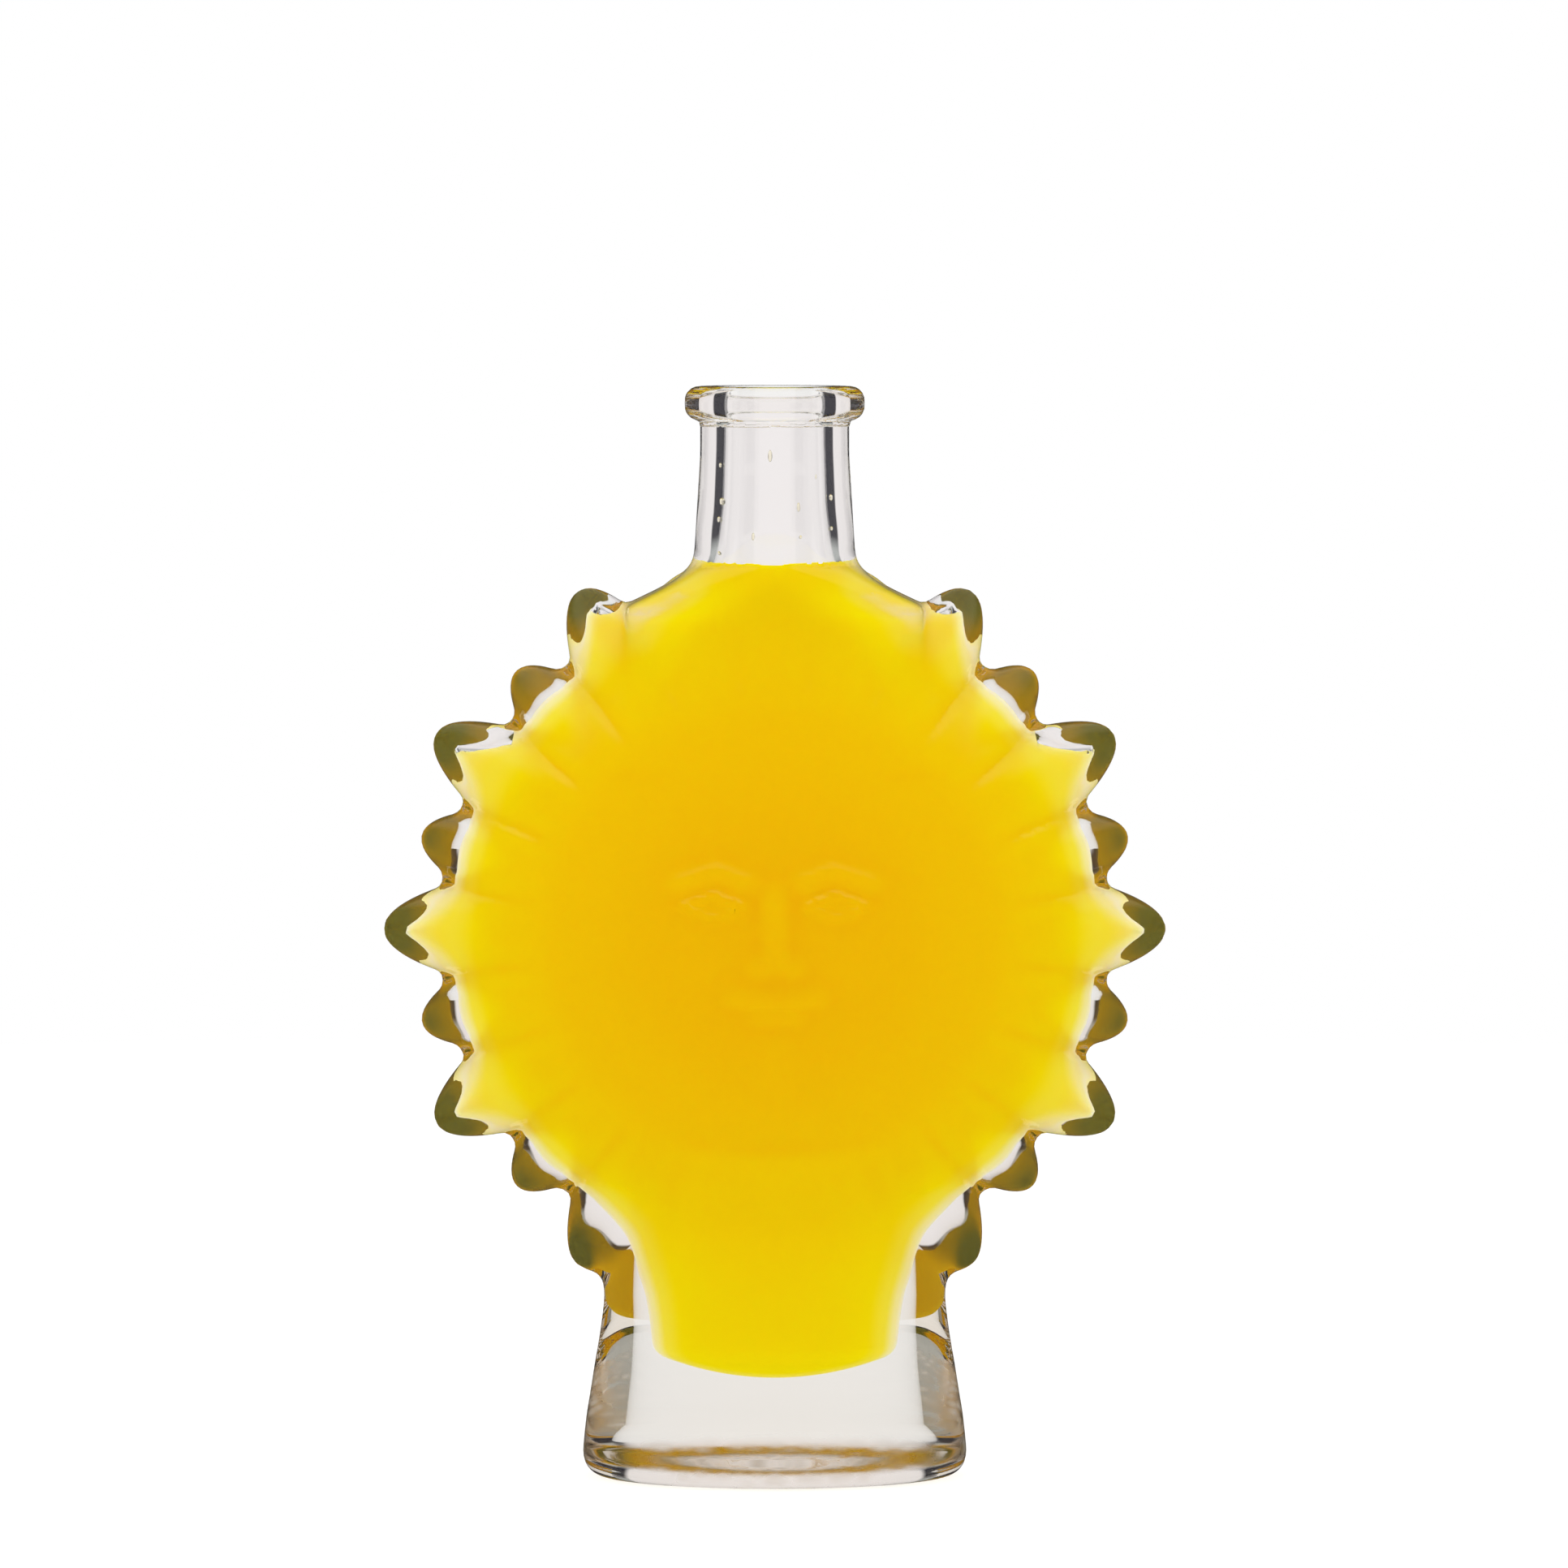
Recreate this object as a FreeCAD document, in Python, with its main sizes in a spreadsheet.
"""Sun-shaped glass flask with an open cork mouth, filled with a yellow drink.

Two pieces: the moulded glass (one solid) and the drink inside it. The flask is a lens-shaped
disc with hollow long rays and solid short rays round its rim, a round neck with a rolled lip
above and an oval foot with a thick base below. Millimetres, +Z up, front on -Y, and the
origin at the centre of the base, where the foot stands.
"""
import FreeCAD, Part
import math
import os

import Sketcher
from FreeCAD import Placement, Rotation, Vector

doc = FreeCAD.newDocument("SunFlask")

# ---------------------------------------------------------------- driving dimensions
SIZES = {
    # disc of the sun: a lens turned about the depth axis
    "DiscRadius": 52.8,
    "DiscHalfDepth": 21.0,
    "DiscLift": 32.7,             # lowest point of the disc above the table
    "DiscRimWall": 5.3,
    "DiscFaceWall": 3.0,
    # rays: half widths and half depths are taken where a ray leaves the rim
    "RayCount": 12,
    "RootDepth": 8.8,             # how far inside the rim a ray starts
    "LongRayReach": 8.3,
    "LongRayHalfWidth": 6.9,
    "LongRayHalfDepth": 8.0,
    "LongRayTipWall": 3.9,
    "LongRaySideWall": 4.3,
    "LongRayFrontWall": 3.6,
    "SteepRayTipWall": 2.4,       # the two rays beside the shoulder have thinner walls
    "SteepRaySideWall": 2.8,
    "ShortRayReach": 4.2,
    "ShortRayHalfWidth": 5.0,
    "ShortRayHalfDepth": 5.6,
    # neck, lip and bore: heights below the top of the lip
    "NeckAboveDisc": 32.1,        # top of the lip above the top of the disc
    "NeckWall": 3.7,
    "NeckSpread": 0.9,            # how much wider the neck is at its root
    "NeckTaperTop": 10.7,
    "LipOverhang": 2.4,
    "LipHeight": 5.3,
    "LipRound": 2.2,
    "BoreRadius": 7.9,
    "BoreSpread": 1.9,
    "BoreFlareTop": 17.0,
    "MouthChamfer": 0.8,
    # shoulder between neck and disc: heights above the top of the disc
    "ShoulderTop": 6.5,
    "ShoulderRound": 3.5,         # hollow curve from the neck into the shoulder's slope
    "ShoulderTurn": 60,
    "ShoulderEdge": -1.4,
    "ShoulderHalfWidth": 23.2,
    "ShoulderSwell": 0.1,         # how much deeper the shoulder is than the neck's root
    "ShoulderWall": 2.5,
    "ShoulderSeat": 18.0,         # how far the shoulder runs down into the disc
    # foot: its width and depth at the table are those before the heel is rounded
    "FootHalfWidth": 30.4,
    "FootHalfDepth": 21.2,
    "WaistRise": 26.5,
    "WaistHalfWidth": 26.8,
    "WaistHalfDepth": 15.6,
    "HeelRound": 4.0,
    "FootSeat": 16.0,             # how far the foot runs up into the disc
    "SeatHalfWidth": 24.0,
    "SeatHalfDepth": 13.6,
    "BaseThickness": 15.0,
    "PocketHalfWidth": 16.4,
    "PocketHalfDepth": 10.6,
    "PocketRound": 4.5,
    "PocketMouthHalfWidth": 20.0,
    "PocketSeatHalfDepth": 9.5,
    "RecessDepth": 1.2,
    "RecessMargin": 6.5,
    # drink and the air trapped above it in the rays, measured down from the ray's tip
    "LevelAboveDisc": 4.4,
    "UpperBubbleDrop": 4.2,
    "LowerBubbleDrop": 3.0,
}

sheet = doc.addObject("Spreadsheet::Sheet", "Sizes")
for row, (alias, value) in enumerate(SIZES.items(), start=1):
    sheet.set(f"A{row}", alias)
    sheet.set(f"B{row}", str(value))
    sheet.setAlias(f"B{row}", alias)
doc.recompute()

# expressions that several features share; heights are from the centre of the disc
DISC_Z = "(Sizes.DiscLift + Sizes.DiscRadius)"
RIM = "Sizes.DiscRadius"
INNER_RIM = "(Sizes.DiscRadius - Sizes.DiscRimWall)"
INNER_HALF_DEPTH = "(Sizes.DiscHalfDepth - Sizes.DiscFaceWall)"
LONG_TIP = "(Sizes.DiscRadius + Sizes.LongRayReach)"
SHORT_TIP = "(Sizes.DiscRadius + Sizes.ShortRayReach)"
NECK_RADIUS = "(Sizes.BoreRadius + Sizes.NeckWall)"
NECK_ROOT = f"({NECK_RADIUS} + Sizes.NeckSpread)"
BORE_ROOT = "(Sizes.BoreRadius + Sizes.BoreSpread)"
SHOULDER_HALF_DEPTH = f"({NECK_ROOT} + Sizes.ShoulderSwell)"
LIP_RADIUS = f"({NECK_RADIUS} + Sizes.LipOverhang)"
LIP_TOP = "(Sizes.DiscRadius + Sizes.NeckAboveDisc)"
SHOULDER_TOP = "(Sizes.DiscRadius + Sizes.ShoulderTop)"
SHOULDER_SEAT = "(Sizes.DiscRadius - Sizes.ShoulderSeat)"
FLOOR = f"(0 - {DISC_Z})"
FOOT_SEAT = "(Sizes.FootSeat - Sizes.DiscRadius)"
PITCH = "(360 / Sizes.RayCount)"


def value(expression):
    """The number that an expression on the sheet gives."""
    return float(sheet.evalExpression(expression))


def bind(obj, **expressions):
    """Bind properties of an object to expressions; a double underscore stands for a dot."""
    for prop, text in expressions.items():
        obj.setExpression(prop.replace("__", "."), text)


def origin_feature(body, role):
    """The plane or axis of a body's own origin that plays a role, such as XY_Plane."""
    return next(f for f in body.Origin.OriginFeatures if f.Role == role)


def new_body(name):
    """A body whose own origin is the centre of the disc."""
    body = doc.addObject("PartDesign::Body", name)
    bind(body, Placement__Base__z=DISC_Z)
    return body


# ---------------------------------------------------------------- disc and rays
def add_lens(body, name, radius, half_depth):
    """A lens: an ellipsoid of revolution about the depth axis."""
    lens = body.newObject("PartDesign::AdditiveEllipsoid", name)
    lens.Placement = Placement(Vector(), Rotation(Vector(1, 0, 0), 90))
    bind(lens, Radius1=half_depth, Radius2=radius, Radius3=radius)
    return lens


def add_ray(body, name, tip, half_width, half_depth, first_angle):
    """The outer end of a long ellipsoid that points away from the disc centre.

    half_width and half_depth are the ray's size where it crosses the rim.
    """
    ray = body.newObject("PartDesign::AdditiveEllipsoid", name)
    ray.Placement = Placement(Vector(), Rotation(Vector(0, 1, 0), 1))
    at_rim = f"sqrt(1 - pow({RIM} / {tip}; 2))"
    bind(
        ray,
        Radius1=tip,
        Radius2=f"({half_width}) / {at_rim}",
        Radius3=f"({half_depth}) / {at_rim}",
        Angle1=f"asin(({RIM} - Sizes.RootDepth) / {tip})",
        Placement__Rotation__Angle=first_angle,
    )
    return ray


def add_ring(body, name, ray):
    """Repeat a ray evenly all round the disc."""
    ring = body.newObject("PartDesign::PolarPattern", name)
    ring.Originals = [ray]
    ring.Axis = (origin_feature(body, "Y_Axis"), [""])
    ring.Angle = 360
    bind(ring, Occurrences="Sizes.RayCount")
    body.Tip = ring
    doc.recompute()


# ---------------------------------------------------------------- lofts, turned parts, rounds
def add_oval(body, name, half_width, half_depth, height):
    """A level ellipse, with its long axis across the flask."""
    sketch = body.newObject("Sketcher::SketchObject", name)
    sketch.AttachmentSupport = (origin_feature(body, "XY_Plane"), [""])
    sketch.MapMode = "FlatFace"
    bind(sketch, AttachmentOffset__Base__z=height)
    ellipse = sketch.addGeometry(Part.Ellipse(Vector(), 20, 10))
    sketch.exposeInternalGeometry(ellipse)
    major, minor = ellipse + 1, ellipse + 2
    sketch.addConstraint(Sketcher.Constraint("Coincident", ellipse, 3, -1, 1))
    sketch.addConstraint(Sketcher.Constraint("Horizontal", major))
    across = sketch.addConstraint(Sketcher.Constraint("Distance", major, 40))
    along = sketch.addConstraint(Sketcher.Constraint("Distance", minor, 20))
    sketch.renameConstraint(across, "Across")
    sketch.renameConstraint(along, "Along")
    sketch.setExpression("Constraints.Across", f"2 * ({half_width})")
    sketch.setExpression("Constraints.Along", f"2 * ({half_depth})")
    return sketch


def add_loft(body, name, sections):
    """A smooth loft through level ovals, given as (half width, half depth, height)."""
    ovals = [add_oval(body, f"{name}Oval{i}", *section) for i, section in enumerate(sections)]
    doc.recompute()
    loft = body.newObject("PartDesign::AdditiveLoft", name)
    loft.Profile = ovals[0]
    loft.Sections = ovals[1:]
    body.Tip = loft
    doc.recompute()
    return loft


def add_turned(body, name, corners):
    """A solid turned about the neck's axis.

    corners holds (name, radius, height) for each corner of its side, from the bottom up. The
    lowest and the highest edge run level to the axis.
    """
    sketch = body.newObject("Sketcher::SketchObject", f"{name}Profile")
    sketch.AttachmentSupport = (origin_feature(body, "XZ_Plane"), [""])
    sketch.MapMode = "FlatFace"
    side = [Vector(10, i, 0) for i in range(len(corners))]
    outline = [Vector(0, 0, 0), *side, Vector(0, len(side) - 1, 0)]
    for start, end in zip(outline, outline[1:] + outline[:1]):
        sketch.addGeometry(Part.LineSegment(start, end))
    last = len(outline) - 1
    for line in range(len(outline)):
        following = (line + 1) % len(outline)
        sketch.addConstraint(Sketcher.Constraint("Coincident", line, 2, following, 1))
    sketch.addConstraint(Sketcher.Constraint("PointOnObject", 0, 1, -2))
    sketch.addConstraint(Sketcher.Constraint("Vertical", last))
    sketch.addConstraint(Sketcher.Constraint("Horizontal", 0))
    sketch.addConstraint(Sketcher.Constraint("Horizontal", last - 1))
    for line, (corner, radius, height) in enumerate(corners):
        across = sketch.addConstraint(Sketcher.Constraint("DistanceX", -1, 1, line, 2, 10))
        sketch.renameConstraint(across, f"{corner}Radius")
        sketch.setExpression(f"Constraints.{corner}Radius", radius)
        up = sketch.addConstraint(Sketcher.Constraint("DistanceY", -1, 1, line, 2, line))
        sketch.renameConstraint(up, f"{corner}Height")
        sketch.setExpression(f"Constraints.{corner}Height", height)
    doc.recompute()
    turned = body.newObject("PartDesign::Revolution", name)
    turned.Profile = sketch
    turned.ReferenceAxis = (sketch, ["V_Axis"])
    turned.Angle = 360
    body.Tip = turned
    doc.recompute()
    return turned


def add_fillet(body, name, edges, radius):
    """Round the named edges of the body's last feature."""
    base = body.Tip
    fillet = body.newObject("PartDesign::Fillet", name)
    fillet.Base = (base, edges)
    bind(fillet, Radius=radius)
    body.Tip = fillet
    doc.recompute()


def level_edges(shape, height, reach):
    """Names of the shape's level edges at a height that go out as far as reach across."""
    tolerance = 0.01
    wanted = (value(height), value(height), value(reach))
    names = []
    for number, edge in enumerate(shape.Edges, start=1):
        bounds = edge.optimalBoundingBox(False)
        found = (bounds.ZMin, bounds.ZMax, bounds.XMax)
        if all(abs(a - b) < tolerance for a, b in zip(found, wanted)):
            names.append(f"Edge{number}")
    return names


# ---------------------------------------------------------------- the two forms and the pieces
def shoulder_sections(neck_radius, half_depth, wall):
    """Ovals of the shoulder, from the neck out to its edge and down into the disc.

    The first ovals follow a hollow curve that turns away from the neck. A wall above zero
    gives the inner surface, which runs parallel to the outer one.
    """
    bend = f"(Sizes.ShoulderRound + {wall})"
    sections = []
    for share in (0, 0.5, 1):
        turn = f"({share} * Sizes.ShoulderTurn * 1 deg)"
        half_width = f"{neck_radius} + {bend} * (1 - cos({turn}))"
        depth = f"{neck_radius} + {share} * ({half_depth} - {neck_radius})"
        sections.append((half_width, depth, f"{SHOULDER_TOP} - {bend} * sin({turn})"))
    edge_width = f"Sizes.ShoulderHalfWidth - {wall} * cos(Sizes.ShoulderTurn * 1 deg)"
    edge = f"{RIM} + Sizes.ShoulderEdge - {wall} * sin(Sizes.ShoulderTurn * 1 deg)"
    sections.append((edge_width, half_depth, edge))
    sections.append((f"Sizes.ShoulderHalfWidth - {wall}", half_depth, SHOULDER_SEAT))
    return sections


def build_outside():
    """The outside of the flask, as if it were solid glass."""
    body = new_body("OuterForm")
    add_lens(body, "Disc", RIM, "Sizes.DiscHalfDepth")
    long_ray = add_ray(
        body, "LongRay", LONG_TIP, "Sizes.LongRayHalfWidth", "Sizes.LongRayHalfDepth", PITCH
    )
    add_ring(body, "LongRays", long_ray)
    short_ray = add_ray(
        body, "ShortRay", SHORT_TIP, "Sizes.ShortRayHalfWidth", "Sizes.ShortRayHalfDepth",
        f"{PITCH} / 2",
    )
    add_ring(body, "ShortRays", short_ray)
    add_loft(body, "Shoulder", shoulder_sections(NECK_ROOT, SHOULDER_HALF_DEPTH, "0"))
    add_turned(
        body,
        "Neck",
        (
            ("Root", NECK_ROOT, SHOULDER_TOP),
            ("Taper", NECK_RADIUS, f"{LIP_TOP} - Sizes.NeckTaperTop"),
            ("Collar", NECK_RADIUS, f"{LIP_TOP} - Sizes.LipHeight"),
            ("LipFoot", LIP_RADIUS, f"{LIP_TOP} - Sizes.LipHeight"),
            ("LipTop", LIP_RADIUS, LIP_TOP),
        ),
    )
    lip_edges = [
        edge
        for height in (LIP_TOP, f"{LIP_TOP} - Sizes.LipHeight")
        for edge in level_edges(body.Tip.Shape, height, LIP_RADIUS)
    ]
    add_fillet(body, "LipRounding", lip_edges, "Sizes.LipRound")
    add_loft(
        body,
        "Foot",
        (
            ("Sizes.FootHalfWidth", "Sizes.FootHalfDepth", FLOOR),
            ("Sizes.WaistHalfWidth", "Sizes.WaistHalfDepth", f"{FLOOR} + Sizes.WaistRise"),
            ("Sizes.SeatHalfWidth", "Sizes.SeatHalfDepth", FOOT_SEAT),
        ),
    )
    heel_edges = level_edges(body.Tip.Shape, FLOOR, "Sizes.FootHalfWidth")
    add_fillet(body, "HeelRounding", heel_edges, "Sizes.HeelRound")
    recess = body.newObject("PartDesign::SubtractiveEllipsoid", "Recess")
    bind(
        recess,
        Placement__Base__z=FLOOR,
        Radius1="Sizes.RecessDepth",
        Radius2="Sizes.FootHalfWidth - Sizes.RecessMargin",
        Radius3="Sizes.FootHalfDepth - Sizes.RecessMargin",
    )
    body.Tip = recess
    doc.recompute()
    return body


def build_cavity():
    """The hollow inside the flask, from the pocket in its foot to above its mouth."""
    body = new_body("CavityForm")
    add_lens(body, "DiscHollow", INNER_RIM, INNER_HALF_DEPTH)
    ray_hollow = add_ray(
        body,
        "LongRayHollow",
        f"({LONG_TIP} - Sizes.LongRayTipWall)",
        "Sizes.LongRayHalfWidth - Sizes.LongRaySideWall",
        "Sizes.LongRayHalfDepth - Sizes.LongRayFrontWall",
        PITCH,
    )
    add_ring(body, "LongRayHollows", ray_hollow)
    for side in (-1, 1):
        add_ray(
            body,
            "SteepRayHollow",
            f"({LONG_TIP} - Sizes.SteepRayTipWall)",
            "Sizes.LongRayHalfWidth - Sizes.SteepRaySideWall",
            "Sizes.LongRayHalfDepth - Sizes.LongRayFrontWall",
            f"{side} * {PITCH}",
        )
    doc.recompute()
    add_loft(
        body,
        "ShoulderHollow",
        shoulder_sections(
            BORE_ROOT, f"({SHOULDER_HALF_DEPTH} - Sizes.ShoulderWall)", "Sizes.ShoulderWall"
        ),
    )
    add_turned(
        body,
        "Bore",
        (
            ("Root", BORE_ROOT, SHOULDER_TOP),
            ("Flare", "Sizes.BoreRadius", f"{LIP_TOP} - Sizes.BoreFlareTop"),
            ("Throat", "Sizes.BoreRadius", f"{LIP_TOP} - Sizes.MouthChamfer"),
            ("Mouth", "Sizes.BoreRadius + Sizes.MouthChamfer", LIP_TOP),
            ("Above", "Sizes.BoreRadius + Sizes.MouthChamfer", f"{LIP_TOP} + 1"),
        ),
    )
    pocket_floor = f"({FLOOR} + Sizes.BaseThickness)"
    add_loft(
        body,
        "Pocket",
        (
            ("Sizes.PocketHalfWidth", "Sizes.PocketHalfDepth", pocket_floor),
            (
                "Sizes.PocketMouthHalfWidth", "Sizes.PocketHalfDepth",
                f"{FLOOR} + Sizes.DiscLift + Sizes.DiscRimWall",
            ),
            ("Sizes.PocketMouthHalfWidth", "Sizes.PocketSeatHalfDepth", FOOT_SEAT),
        ),
    )
    pocket_edges = level_edges(body.Tip.Shape, pocket_floor, "Sizes.PocketHalfWidth")
    add_fillet(body, "PocketRounding", pocket_edges, "Sizes.PocketRound")
    return body


def build_glass(outside, cavity):
    """The glass: the outside less the hollow."""
    glass = doc.addObject("Part::Cut", "BottleGlass")
    glass.Label = "bottle_glass"
    glass.Base = outside
    glass.Tool = cavity
    return glass


def build_drink(cavity):
    """The drink fills the hollow up to its level, less the air trapped in the upper rays."""
    room = doc.addObject("Part::Box", "BelowLevel")
    bind(
        room,
        Length=f"2 * {LONG_TIP}",
        Width="2 * Sizes.DiscHalfDepth",
        Height=f"{DISC_Z} + {RIM} + Sizes.LevelAboveDisc",
        Placement__Base__x=f"0 - {LONG_TIP}",
        Placement__Base__y="0 - Sizes.DiscHalfDepth",
    )
    full = doc.addObject("Part::Common", "FilledHollow")
    full.Base = cavity
    full.Tool = room
    bubbles = []
    for turn, drop in ((1, "Sizes.UpperBubbleDrop"), (2, "Sizes.LowerBubbleDrop")):
        for side in (-1, 1):
            bubble = doc.addObject("Part::Box", "TrappedAir")
            steepness = f"({turn} * {PITCH} * 1 deg)"
            inner = f"{INNER_RIM} * sin({steepness})"
            bind(
                bubble,
                Length=f"{LONG_TIP} - {inner}",
                Width="2 * Sizes.DiscHalfDepth",
                Height=f"{LONG_TIP}",
                Placement__Base__x=inner if side > 0 else f"0 - {LONG_TIP}",
                Placement__Base__y="0 - Sizes.DiscHalfDepth",
                Placement__Base__z=f"{DISC_Z} + {LONG_TIP} * cos({steepness}) - {drop}",
            )
            bubbles.append(bubble)
    air = doc.addObject("Part::MultiFuse", "AllTrappedAir")
    air.Shapes = bubbles
    drink = doc.addObject("Part::Cut", "LiquidFill")
    drink.Label = "liquid_fill"
    drink.Base = full
    drink.Tool = air
    return drink


def check_and_write(pieces):
    """Stop on any failed object or shape, then write one STEP file for each piece."""
    doc.recompute()
    for obj in doc.Objects:
        if {"Invalid", "Error"} & set(obj.State):
            raise RuntimeError(f"{obj.Label} failed: {obj.State}")
    os.makedirs("parts", exist_ok=True)
    for piece in pieces:
        shape = piece.Shape
        if shape.isNull() or not shape.isValid() or len(shape.Solids) != 1:
            raise RuntimeError(f"{piece.Label} isn't one valid solid")
        shape.exportStep(f"parts/{piece.Label}.step")
        print(f"{piece.Label}: {shape.Volume / 1000:.1f} ml, faces {len(shape.Faces)}")


outer_form = build_outside()
cavity_form = build_cavity()
check_and_write([build_glass(outer_form, cavity_form), build_drink(cavity_form)])
